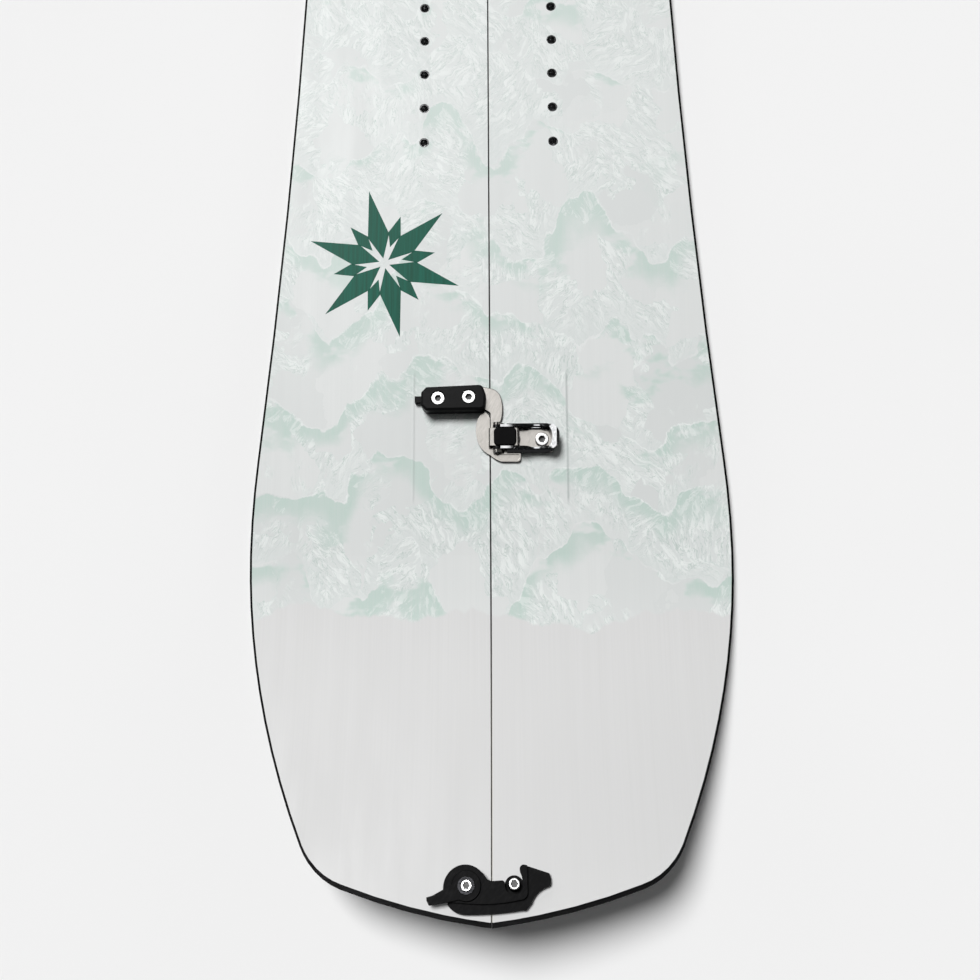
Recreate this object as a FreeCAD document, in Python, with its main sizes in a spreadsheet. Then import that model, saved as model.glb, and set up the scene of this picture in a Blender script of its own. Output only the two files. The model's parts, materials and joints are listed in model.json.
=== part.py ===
"""Splitboard: a snowboard cut lengthwise into two skis, with the clips that join them.

Frame: X across the board, Y lengthwise from the nose (-Y) to the tail (+Y), Z up from the running base.
The origin is under the middle of the board, on the base plane. Millimetres and degrees.
"""
import FreeCAD, Part
import math
import os

import Sketcher
from FreeCAD import Placement, Rotation, Vector

# ---------------------------------------------------------------- driving dimensions
DIMENSIONS = {
    # plan outline, taken at the steel edge
    "seam_gap": 0.3,
    "waist_half_width": 123.1,
    "sidecut_radius": 6200.0,
    "sidecut_middle": 100.0,
    "nose_half_width": 156.4,
    "nose_widest_pos": 572.0,
    "nose_side_radius": 380.0,
    "nose_corner_radius": 45.0,
    "nose_end_radius": 430.0,
    "nose_corner_from": 27.6,
    "nose_corner_to": 72.0,
    "tail_half_width": 139.0,
    "tail_widest_pos": 561.0,
    "tail_side_radius": 390.0,
    "tail_corner_radius": 45.0,
    "tail_end_radius": 400.0,
    "tail_corner_from": 29.5,
    "tail_corner_to": 72.0,
    # side profile
    "thickness": 8.0,
    "nose_kick_start": 575.0,
    "nose_base_radius": 480.0,
    "nose_top_radius": 505.0,
    "tail_kick_start": 590.0,
    "tail_base_radius": 580.0,
    "tail_top_radius": 620.0,
    "profile_reach": 800.0,
    "profile_half_span": 200.0,
    "plan_height": 90.0,
    # layers, as heights above the base or depths below the top surface
    "base_thickness": 1.4,
    "edge_height": 2.0,
    "lower_laminate_top": 2.5,
    "upper_laminate_depth": 1.3,
    "topsheet_depth": 0.7,
    # how far each layer is set in from the outline of the steel edge
    "edge_width": 2.2,
    "edge_flange": 6.0,
    "sidewall_inset": 0.15,
    "sidewall_width": 7.0,
    "topsheet_inset": 1.9,
    "topsheet_end_inset": 1.2,
    # how far the layers are set in from the seam
    "layer_seam_inset": 0.1,
    "topsheet_seam_inset": 0.35,
    # threaded inserts of the bindings and of the touring fittings
    "insert_pitch": 25.4,
    "insert_row_offset": 44.45,
    "nose_pack_start": -290.0,
    "tail_pack_start": 203.0,
    "insert_radius": 3.4,
    "insert_flange_radius": 7.5,
    "insert_flange_height": 0.9,
    "insert_bore_radius": 2.5,
    "insert_top_depth": 0.3,
    "touring_offset": 62.0,
    "touring_across": 38.0,
    "touring_along": 50.0,
    "toe_fitting_pos": -40.0,
    "riser_fitting_pos": 130.0,
    # threaded inserts under the clips
    "anchor_radius": 3.4,
    "anchor_flange_radius": 5.0,
    "tip_anchor_floor": 2.6,
    "tip_anchor_flange": 0.7,
    "tip_bore_radius": 1.75,
    # screws of the centre clips
    "screw_shank_radius": 2.4,
    "screw_hole_radius": 2.6,
    "screw_head_radius": 4.4,
    "screw_head_height": 2.6,
    "screw_socket_size": 2.35,
    "screw_socket_depth": 2.0,
    "screw_reach": 4.4,
    # centre clips
    "clip_station": 499.0,
    "clip_underside": 0.1,
    "hook_plate_top": 2.3,
    "base_plate_top": 2.1,
    "block_height": 11.0,
    "block_chamfer": 1.4,
    "block_left_radius": 1.6,
    "block_right_radius": 3.4,
    "counterbore_floor": 8.0,
    "counterbore_radius": 4.7,
    "nub_height": 4.0,
    "plate_edge_break": 0.4,
    "tongue_near": 0.4,
    "tongue_far": 4.5,
    "shelf_floor": 1.1,
    "lip_near": 0.5,
    "lip_far": 1.6,
    "lip_top": 6.0,
    "lip_half_width": 3.5,
    "pivot_across": 4.2,
    "pivot_height": 6.0,
    "pivot_pin_radius": 1.25,
    "rail_end_radius": 2.3,
    "ear_radius": 2.1,
    "ear_near": 8.1,
    "ear_far": 9.8,
    "lever_half_width": 7.9,
    "lever_window": 6.3,
    "lever_window_end": 40.4,
    "saddle_middle": 30.0,
    "skirt_near": 11.0,
    "skirt_far": 44.0,
    "skirt_half_width": 9.7,
    "skirt_top": 5.4,
    "skirt_chamfer": 1.6,
    "lever_end": 44.5,
    "lever_underside": 2.4,
    "lever_height": 10.0,
    "link_pin_across": 17.6,
    "link_pin_height": 7.2,
    "link_pin_radius": 0.8,
    "link_half_width": 5.9,
    "link_underside": 6.4,
    "link_top": 8.4,
    "link_tooth_near": -0.8,
    "link_tooth_far": 0.2,
    "link_tooth_floor": 3.4,
    "cap_near": 2.5,
    "cap_far": 17.2,
    "cap_corner_radius": 3.0,
    "cap_chamfer": 0.6,
    "cap_top": 10.2,
    "cap_half_width": 6.05,
    # tip and tail clips
    "end_clip_station": 767.4,
    "end_clip_lift": 0.06,
    "hook_pivot_across": -14.4,
    "hook_pivot_along": -1.1,
    "post_across": 12.9,
    "post_along": -0.2,
    "hook_floor": 1.2,
    "hook_flange_top": 3.0,
    "hook_body_top": 5.2,
    "hook_disc_radius": 12.5,
    "hook_disc_across": -15.1,
    "hook_disc_along": -2.1,
    "hook_step_across": 20.4,
    "hook_recess_floor": 3.9,
    "hook_pocket_radius": 32.2,
    "release_top": 6.6,
    "release_hub_radius": 8.2,
    "bushing_radius": 4.0,
    "bushing_bore": 2.1,
    "bushing_flange_radius": 5.0,
    "bushing_top": 7.2,
    "washer_radius": 6.5,
    "washer_top": 1.15,
    "post_flange_radius": 5.4,
    "post_flange_top": 0.9,
    "post_radius": 3.4,
    "post_top": 5.4,
    "tip_screw_radius": 1.7,
    "tip_head_radius": 3.1,
    "tip_head_height": 1.6,
    "tip_socket_size": 2.25,
    "tip_socket_depth": 1.2,
    "tip_head_proud": 0.3,
    "tip_screw_reach": 1.7,
    # fits and small allowances shared by the clips
    "running_clearance": 0.05,
    "thrust_gap": 0.1,
    "hub_clearance": 0.3,
    "pin_overhang": 0.4,
    "screw_edge_break": 0.35,
    "overshoot": 4.0,
}

doc = FreeCAD.newDocument("splitboard")
sheet = doc.addObject("Spreadsheet::Sheet", "Dimensions")
for row, (name, value) in enumerate(DIMENSIONS.items(), start=1):
    sheet.set(f"A{row}", name)
    sheet.set(f"B{row}", str(value))
    sheet.setAlias(f"B{row}", name)
doc.recompute()

parts = []


def cell(name):
    """The value of a cell of the sheet."""
    return float(sheet.get(name))


def bind(thing, prop, expression):
    """Binds a property to an expression in which 'S.' stands for the sheet."""
    thing.setExpression(prop, expression.replace("S.", "Dimensions."))


def keep(thing, label, placement=None):
    """Names a finished sub-part and places it."""
    thing.Label = label
    if placement is not None:
        thing.Placement = placement
    parts.append(thing)
    return thing


# ---------------------------------------------------------------- sketches and bodies
def flat(point):
    return Vector(point[0], point[1], 0)


def trace(sketch, start, steps):
    """Draws a closed loop. A step is an end point, or a pair (point on the arc, end point)."""
    here, ends = start, []
    for step in steps:
        if isinstance(step[0], tuple):
            through, there = step
            curve = Part.Arc(flat(here), flat(through), flat(there))
        else:
            there = step
            curve = Part.LineSegment(flat(here), flat(there))
        index = sketch.addGeometry(curve, False)
        forward = (sketch.getPoint(index, 1) - flat(here)).Length < 1e-6
        ends.append((index, 1 if forward else 2, 2 if forward else 1))
        here = there
    for current, following in zip(ends, ends[1:] + ends[:1]):
        joint = ("Coincident", current[0], current[2], following[0], following[1])
        sketch.addConstraint(Sketcher.Constraint(*joint))
    return ends


def circle(sketch, centre, radius):
    """Draws a circle whose radius is an expression on the sheet."""
    value = value_of(radius)
    index = sketch.addGeometry(Part.Circle(flat(centre), Vector(0, 0, 1), value), False)
    row = sketch.addConstraint(Sketcher.Constraint("Radius", index, value))
    bind(sketch, f"Constraints[{row}]", radius)


def value_of(expression):
    """The value of an expression on the sheet."""
    return float(sheet.evalExpression(expression.replace("S.", "Dimensions.")))


def hexagon(sketch, centre, size):
    """Draws a hexagon whose corners are a size away from its centre."""
    turns = [math.radians(60 * i) for i in range(6)]
    reach = value_of(size)
    polygon(sketch, [(centre[0] + reach * math.cos(t), centre[1] + reach * math.sin(t)) for t in turns])


def polygon(sketch, corners):
    trace(sketch, corners[0], corners[1:] + corners[:1])


def rectangle(sketch, low, high):
    polygon(sketch, [low, (high[0], low[1]), high, (low[0], high[1])])


def new_body(label):
    body = doc.addObject("PartDesign::Body", label)
    body.Label = label
    if hasattr(body, "AllowCompound"):
        body.AllowCompound = True
    return body


def plane_sketch(body, plane, offset):
    """A sketch on one of the body's own planes, moved along the plane's normal by an expression."""
    sketch = body.newObject("Sketcher::SketchObject", "Sketch")
    support = next(f for f in body.Origin.OriginFeatures if f.Role == plane)
    sketch.AttachmentSupport = [(support, "")]
    sketch.MapMode = "FlatFace"
    bind(sketch, "AttachmentOffset.Base.z", offset)
    return sketch


def pad(body, sketch, length):
    """Pads a sketch along its normal by an expression."""
    feature = body.newObject("PartDesign::Pad", "Pad")
    feature.Profile = sketch
    bind(feature, "Length", length)
    body.Tip = feature
    return feature


def pocket(body, sketch, length):
    """Cuts along the sketch's normal by an expression, and checks that something was taken away."""
    doc.recompute()
    before = body.Shape.Volume
    feature = body.newObject("PartDesign::Pocket", "Pocket")
    feature.Profile = sketch
    feature.Reversed = True
    bind(feature, "Length", length)
    body.Tip = feature
    doc.recompute()
    if not body.Shape.Volume < before - 1e-3:
        raise RuntimeError(f"a pocket of {body.Label} cuts nothing")
    return feature


def slab(body, low, high, draw):
    """Pads what draw() draws on a level plane, from one height to another."""
    sketch = plane_sketch(body, "XY_Plane", low)
    draw(sketch)
    return pad(body, sketch, f"({high}) - ({low})")


def carve(body, low, high, draw):
    """Cuts what draw() draws on a level plane, from one height to another."""
    sketch = plane_sketch(body, "XY_Plane", low)
    draw(sketch)
    return pocket(body, sketch, f"({high}) - ({low})")


def side_slab(body, low, high, draw):
    """Pads a profile drawn in X and Z between two positions along Y."""
    sketch = plane_sketch(body, "XZ_Plane", f"-({high})")
    draw(sketch)
    return pad(body, sketch, f"({high}) - ({low})")


def side_carve(body, low, high, draw):
    """Cuts a profile drawn in X and Z between two positions along Y."""
    sketch = plane_sketch(body, "XZ_Plane", f"-({high})")
    draw(sketch)
    return pocket(body, sketch, f"({high}) - ({low})")


def circles(points, radius):
    """A drawing of equal circles."""
    def draw(sketch):
        for point in points:
            circle(sketch, point, radius)
    return draw


def hexagons(points, size):
    """A drawing of equal hexagons."""
    def draw(sketch):
        for point in points:
            hexagon(sketch, point, size)
    return draw


def dress_edges(body, kind, size, wanted):
    """Chamfers or fillets the edges that wanted() picks."""
    doc.recompute()
    base = body.Tip
    names = [f"Edge{n}" for n, edge in enumerate(base.Shape.Edges, start=1) if wanted(edge)]
    if not names:
        raise RuntimeError(f"no edges to dress on {body.Label}")
    feature = body.newObject(f"PartDesign::{kind}", kind)
    feature.Base = (base, names)
    bind(feature, "Size" if kind == "Chamfer" else "Radius", size)
    body.Tip = feature
    return feature


def at_height(height, reach=None):
    """Picks level edges at a height."""
    def wanted(edge):
        box = edge.BoundBox
        return box.ZLength < 1e-6 and abs(box.ZMin - height) < 1e-6 and (reach is None or reach(box))
    return wanted


# ---------------------------------------------------------------- the board's two curves
def end_curve(which, inset, seam_x, end_inset):
    """Arcs of one end from the waist out, each as (through, end). The tip is set in by end_inset more."""
    sign = -1.0 if which == "nose" else 1.0
    waist = (cell("waist_half_width") + cell("sidecut_radius"), sign * cell("sidecut_middle"))
    width, widest = cell(f"{which}_half_width"), cell(f"{which}_widest_pos")
    reach, depth = widest - waist[1], cell("sidecut_radius") - (width - cell("waist_half_width"))
    swell = (depth ** 2 + reach ** 2 - cell("sidecut_radius") ** 2)
    swell /= 2 * (width - cell("waist_half_width"))
    first, second = cell(f"{which}_corner_from"), cell(f"{which}_corner_to")

    def on(centre, radius, angle):
        turn = math.radians(angle)
        return (centre[0] + radius * math.cos(turn), centre[1] + radius * math.sin(turn))

    swell_centre = (width - swell, widest)
    side_centre = (width - cell(f"{which}_side_radius"), widest)
    corner = cell(f"{which}_corner_radius")
    corner_centre = on(side_centre, cell(f"{which}_side_radius") - corner, first)
    end_radius = cell(f"{which}_end_radius") - inset - end_inset
    end_centre = on(corner_centre, corner - cell(f"{which}_end_radius"), second)
    meeting = math.degrees(math.atan2(waist[1] - widest, waist[0] - swell_centre[0]))
    last = math.degrees(math.acos((seam_x - end_centre[0]) / end_radius))
    side = cell(f"{which}_side_radius") - inset
    bend = corner - inset
    return {
        "start": on(swell_centre, swell - inset, meeting),
        "arcs": [
            (on(swell_centre, swell - inset, meeting / 2), on(swell_centre, swell - inset, 0)),
            (on(side_centre, side, first / 2), on(side_centre, side, first)),
            (on(corner_centre, bend - end_inset / 2, (first + second) / 2),
             on(corner_centre, bend - end_inset, second)),
            (on(end_centre, end_radius, (second + last) / 2), on(end_centre, end_radius, last)),
        ],
    }


def plan(side, inset, seam_inset=None, end_inset=0.0):
    """The outline of one half, set in from the steel edge, pulled up through the whole board."""
    if seam_inset is None:
        seam_inset = inset
    name = ("right" if side > 0 else "left") + f"_plan_{inset}_{seam_inset}_{end_inset}".replace(".", "_")
    if doc.getObject(name):
        return doc.getObject(name)
    seam_x = cell("seam_gap") / 2 + seam_inset
    nose = end_curve("nose", inset, seam_x, end_inset)
    tail = end_curve("tail", inset, seam_x, end_inset)

    def at_nose(point):
        return (side * point[0], -point[1])

    def at_tail(point):
        return (side * point[0], point[1])

    steps = []
    backwards = [nose["start"]] + [end for _, end in nose["arcs"]]
    for index in range(3, -1, -1):
        steps.append((at_nose(nose["arcs"][index][0]), at_nose(backwards[index])))
    waist = (cell("waist_half_width") - inset, cell("sidecut_middle"))
    steps.append((at_tail(waist), at_tail(tail["start"])))
    for through, end in tail["arcs"]:
        steps.append((at_tail(through), at_tail(end)))
    start = at_nose(nose["arcs"][3][1])
    steps.append(start)
    sketch = doc.addObject("Sketcher::SketchObject", name + "_sketch")
    ends = trace(sketch, start, steps)
    for step, which in ((2, "nose_side_radius"), (6, "tail_side_radius")):
        row = sketch.addConstraint(Sketcher.Constraint("Radius", ends[step][0], cell(which) - inset))
        bind(sketch, f"Constraints[{row}]", f"S.{which} - {inset}")
    solid = doc.addObject("Part::Extrusion", name)
    solid.Base = sketch
    solid.DirMode = "Custom"
    solid.Dir = Vector(0, 0, 1)
    solid.Solid = True
    bind(solid, "LengthFwd", "S.plan_height")
    bind(solid, "LengthRev", "S.thickness")
    return solid


def curve_points(surface, offset):
    """Heights of a lengthwise curve: offset above the base, or below the top surface."""
    points = {}
    for which in ("nose", "tail"):
        run = cell("profile_reach") - cell(f"{which}_kick_start")
        rise = cell("thickness") if surface == "top" else 0.0
        radius = cell(f"{which}_{surface}_radius")
        arc = radius + offset if surface == "top" else radius - offset

        def height(distance, rise=rise, radius=radius, arc=arc):
            return rise + radius - math.sqrt(arc ** 2 - distance ** 2)

        points[which] = (height(0), (run / 2, height(run / 2)), (run, height(run)), arc)
    return points


def band(low, high):
    """Everything between two lengthwise curves, pulled across the board."""
    name = "band_" + "_".join(f"{s}{o}" for s, o in (low, high)).replace(".", "_").replace("-", "m")
    if doc.getObject(name):
        return doc.getObject(name)
    start_n, start_t = cell("nose_kick_start"), cell("tail_kick_start")
    under, over = curve_points(*low), curve_points(*high)
    first = (-start_n - under["nose"][2][0], under["nose"][2][1])
    steps = [
        ((-start_n - under["nose"][1][0], under["nose"][1][1]), (-start_n, under["nose"][0])),
        (start_t, under["tail"][0]),
        ((start_t + under["tail"][1][0], under["tail"][1][1]),
         (start_t + under["tail"][2][0], under["tail"][2][1])),
        (start_t + over["tail"][2][0], over["tail"][2][1]),
        ((start_t + over["tail"][1][0], over["tail"][1][1]), (start_t, over["tail"][0])),
        (-start_n, over["nose"][0]),
        ((-start_n - over["nose"][1][0], over["nose"][1][1]),
         (-start_n - over["nose"][2][0], over["nose"][2][1])),
        first,
    ]
    sketch = doc.addObject("Sketcher::SketchObject", name + "_sketch")
    ends = trace(sketch, first, steps)
    for step, (surface, offset), which in ((0, low, "nose"), (2, low, "tail")):
        sign = "+" if surface == "top" else "-"
        row = sketch.addConstraint(
            Sketcher.Constraint("Radius", ends[step][0], curve_points(surface, offset)[which][3])
        )
        bind(sketch, f"Constraints[{row}]", f"S.{which}_{surface}_radius {sign} ({offset})")
    sketch.Placement = Placement(Vector(0, 0, 0), Rotation(Vector(1, 1, 1), 120))
    solid = doc.addObject("Part::Extrusion", name)
    solid.Base = sketch
    solid.DirMode = "Custom"
    solid.Dir = Vector(1, 0, 0)
    solid.Solid = True
    bind(solid, "LengthFwd", "S.profile_half_span")
    bind(solid, "LengthRev", "S.profile_half_span")
    return solid


def common(name, first, second):
    thing = doc.addObject("Part::Common", name)
    thing.Base = first
    thing.Tool = second
    return thing


def cut(name, first, second):
    thing = doc.addObject("Part::Cut", name)
    thing.Base = first
    thing.Tool = second
    return thing


def compound(name, things):
    thing = doc.addObject("Part::Compound", name)
    thing.Links = things
    return thing


# ---------------------------------------------------------------- where the inserts go
def insert_points(side):
    """Binding inserts of one half: two packs of six in a row."""
    points = []
    for start in ("nose_pack_start", "tail_pack_start"):
        for number in range(6):
            points.append((side * cell("insert_row_offset"), cell(start) + number * cell("insert_pitch")))
    return points


def touring_points(side):
    """Inserts of the toe fitting and of the heel riser, at the corners of two rectangles."""
    points = []
    for middle in ("toe_fitting_pos", "riser_fitting_pos"):
        for across in (-0.5, 0.5):
            for along in (-0.5, 0.5):
                x = side * cell("touring_offset") + across * cell("touring_across")
                points.append((x, cell(middle) + along * cell("touring_along")))
    return points


ANVIL_SCREWS = [(-33.7, 25.5), (-13.7, 26.2)]
BASE_SCREWS = [(33.9, -1.0), (15.4, -1.0)]


def clip_points(side):
    """Anchors under the centre clips of one half."""
    points = []
    for station in (-cell("clip_station"), cell("clip_station")):
        for point in (ANVIL_SCREWS if side < 0 else BASE_SCREWS):
            points.append((point[0], station + point[1]))
    return points


def end_frame(which):
    """Placement of a tip or tail clip: its Z is the normal of the top surface there."""
    run = cell("end_clip_station") - cell(f"{which}_kick_start")
    radius = cell(f"{which}_top_radius")
    tilt = math.degrees(math.asin(run / radius))
    height = cell("thickness") + radius * (1 - math.cos(math.radians(tilt)))
    if which == "nose":
        turn = Rotation(Vector(1, 0, 0), -tilt)
        spot = Vector(0, -cell("end_clip_station"), height)
    else:
        turn = Rotation(Vector(1, 0, 0), tilt).multiply(Rotation(Vector(0, 0, 1), 180))
        spot = Vector(0, cell("end_clip_station"), height)
    return Placement(spot + turn.multVec(Vector(0, 0, cell("end_clip_lift"))), turn)


PIVOT = (cell("hook_pivot_across"), cell("hook_pivot_along"))
POST = (cell("post_across"), cell("post_along"))


def tip_point(side, which):
    """The one anchor of a tip or tail clip that a half carries, in the clip's own frame."""
    carries_pivot = (side < 0) == (which == "nose")
    return PIVOT if carries_pivot else POST


# ---------------------------------------------------------------- the two halves
def build_inserts(label, points, floor, radius, flange_radius, flange_height, bore, top):
    """A group of flanged threaded inserts, bored from the top."""
    body = new_body(label)
    slab(body, floor, f"{floor} + {flange_height}", circles(points, flange_radius))
    slab(body, f"{floor} + {flange_height}", top, circles(points, radius))
    carve(body, f"{floor} + {flange_height}", f"{top} + 1", circles(points, bore))
    return body


def build_half(side):
    """One half of the board as its layers, edge, sidewalls and inserts."""
    hand = "right" if side > 0 else "left"
    seam = cell("layer_seam_inset")
    laminate_floor = ("base", cell("base_thickness"))
    core_floor = ("base", cell("lower_laminate_top"))
    core_roof = ("top", cell("upper_laminate_depth"))
    skin_floor = ("top", cell("topsheet_depth"))

    binding = build_inserts(
        f"{hand}_binding_inserts", insert_points(side), "S.lower_laminate_top", "S.insert_radius",
        "S.insert_flange_radius", "S.insert_flange_height", "S.insert_bore_radius",
        "S.thickness - S.insert_top_depth",
    )
    keep(binding, f"{hand}_binding_inserts")
    touring = build_inserts(
        f"{hand}_touring_inserts", touring_points(side), "S.lower_laminate_top", "S.insert_radius",
        "S.insert_flange_radius", "S.insert_flange_height", "S.insert_bore_radius",
        "S.thickness - S.insert_top_depth",
    )
    keep(touring, f"{hand}_touring_inserts")
    anchors = [build_inserts(
        f"{hand}_clip_anchors", clip_points(side), "S.lower_laminate_top", "S.anchor_radius",
        "S.anchor_flange_radius", "S.insert_flange_height", "S.insert_bore_radius",
        "S.thickness - S.insert_top_depth",
    )]
    for which in ("nose", "tail"):
        anchor = build_inserts(
            f"{hand}_{which}_anchor", [tip_point(side, which)], "-S.tip_anchor_floor", "S.anchor_radius",
            "S.anchor_flange_radius", "S.tip_anchor_flange", "S.tip_bore_radius", "-S.insert_top_depth",
        )
        anchor.Placement = end_frame(which)
        anchors.append(anchor)
    keep(compound(f"{hand}_hardware_inserts", anchors), f"{hand}_hardware_inserts")

    # openings for every insert: a wide one for the flange, a narrow one up through the top
    seats = []
    for number, (points, flange) in enumerate((
        (insert_points(side) + touring_points(side), "S.insert_flange_radius"),
        (clip_points(side), "S.anchor_flange_radius"),
    )):
        seat = new_body(f"{hand}_seats_{number}")
        slab(seat, "S.lower_laminate_top", "S.lower_laminate_top + S.insert_flange_height",
             circles(points, flange))
        slab(seat, "S.lower_laminate_top + S.insert_flange_height", "S.thickness + S.overshoot",
             circles(points, "S.insert_radius"))
        seats.append(seat)
    for which in ("nose", "tail"):
        seat = new_body(f"{hand}_{which}_seat")
        spot = [tip_point(side, which)]
        slab(seat, "-S.tip_anchor_floor", "-S.tip_anchor_floor + S.tip_anchor_flange",
             circles(spot, "S.anchor_flange_radius"))
        slab(seat, "-S.tip_anchor_floor + S.tip_anchor_flange", "S.overshoot",
             circles(spot, "S.anchor_radius"))
        seat.Placement = end_frame(which)
        seats.append(seat)
    openings = compound(f"{hand}_openings", seats)

    # running base and steel edge
    base = common(f"{hand}_base", plan(side, cell("edge_width")), band(("base", 0.0), laminate_floor))
    keep(base, f"{hand}_base_sheet")
    edge_roof = ("base", cell("edge_height"))
    blank = common(f"{hand}_edge_blank", plan(side, 0.0), band(("base", 0.0), edge_roof))
    below_base = ("base", -cell("edge_height"))
    rebate = common(f"{hand}_edge_rebate", plan(side, cell("edge_width")), band(below_base, laminate_floor))
    edge = cut(f"{hand}_edge_step", blank, rebate)
    edge = cut(f"{hand}_edge", edge, plan(side, cell("edge_flange")))
    keep(edge, f"{hand}_steel_edge")
    rim_plan = plan(side, cell("sidewall_inset"), seam)
    glass = common(f"{hand}_lower_glass", rim_plan, band(laminate_floor, core_floor))
    keep(cut(f"{hand}_lower_laminate", glass, edge), f"{hand}_lower_laminate")

    # core between the sidewalls
    core_plan = plan(side, cell("sidewall_width"))
    block = common(f"{hand}_core_blank", core_plan, band(core_floor, core_roof))
    keep(cut(f"{hand}_wood_core", block, openings), f"{hand}_wood_core")
    rim = common(f"{hand}_rim_blank", rim_plan, band(core_floor, core_roof))
    rim = cut(f"{hand}_rim", rim, core_plan)
    strip = doc.addObject("Part::Box", f"{hand}_seam_strip")
    bind(strip, "Length", "S.sidewall_width + S.seam_gap / 2 + 20")
    bind(strip, "Width", "2 * S.profile_reach")
    bind(strip, "Height", "S.plan_height + S.thickness")
    near = "-20" if side > 0 else "-S.sidewall_width - S.seam_gap / 2"
    bind(strip, "Placement.Base.x", near)
    bind(strip, "Placement.Base.y", "-S.profile_reach")
    bind(strip, "Placement.Base.z", "-S.thickness")
    keep(cut(f"{hand}_outer_sidewall", rim, strip), f"{hand}_outer_sidewall")
    keep(common(f"{hand}_inner_sidewall", rim, strip), f"{hand}_inner_sidewall")

    # skins above the core
    skin_inset, end_inset = cell("topsheet_inset"), cell("topsheet_end_inset")
    glass_plan = plan(side, skin_inset, seam, end_inset)
    upper = common(f"{hand}_upper_glass", glass_plan, band(core_roof, skin_floor))
    keep(cut(f"{hand}_upper_laminate", upper, openings), f"{hand}_upper_laminate")
    skin_plan = plan(side, skin_inset, cell("topsheet_seam_inset"), end_inset)
    skin = common(f"{hand}_skin", skin_plan, band(skin_floor, ("top", 0.0)))
    keep(cut(f"{hand}_topsheet", skin, openings), f"{hand}_topsheet")


# ---------------------------------------------------------------- centre clips
def build_screws(label, points, seat, placement, reach, shank, head, height, socket, depth):
    """Cap screws with hexagon sockets, their heads standing on a seat."""
    body = new_body(label)
    slab(body, f"-({reach})", seat, circles(points, shank))
    slab(body, seat, f"{seat} + {height}", circles(points, head))
    carve(body, f"{seat} + {height} - {depth}", f"{seat} + {height} + 1", hexagons(points, socket))
    top = value_of(f"({seat}) + ({height})")
    dress_edges(body, "Chamfer", "S.screw_edge_break", lambda edge: is_rim(edge, top))
    return keep(body, label, placement)


def is_rim(edge, height):
    """True for the round edge at the top of a head."""
    box = edge.BoundBox
    return abs(box.ZMin - height) < 1e-6 and box.ZLength < 1e-6 and "Circle" in edge.Curve.TypeId


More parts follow.
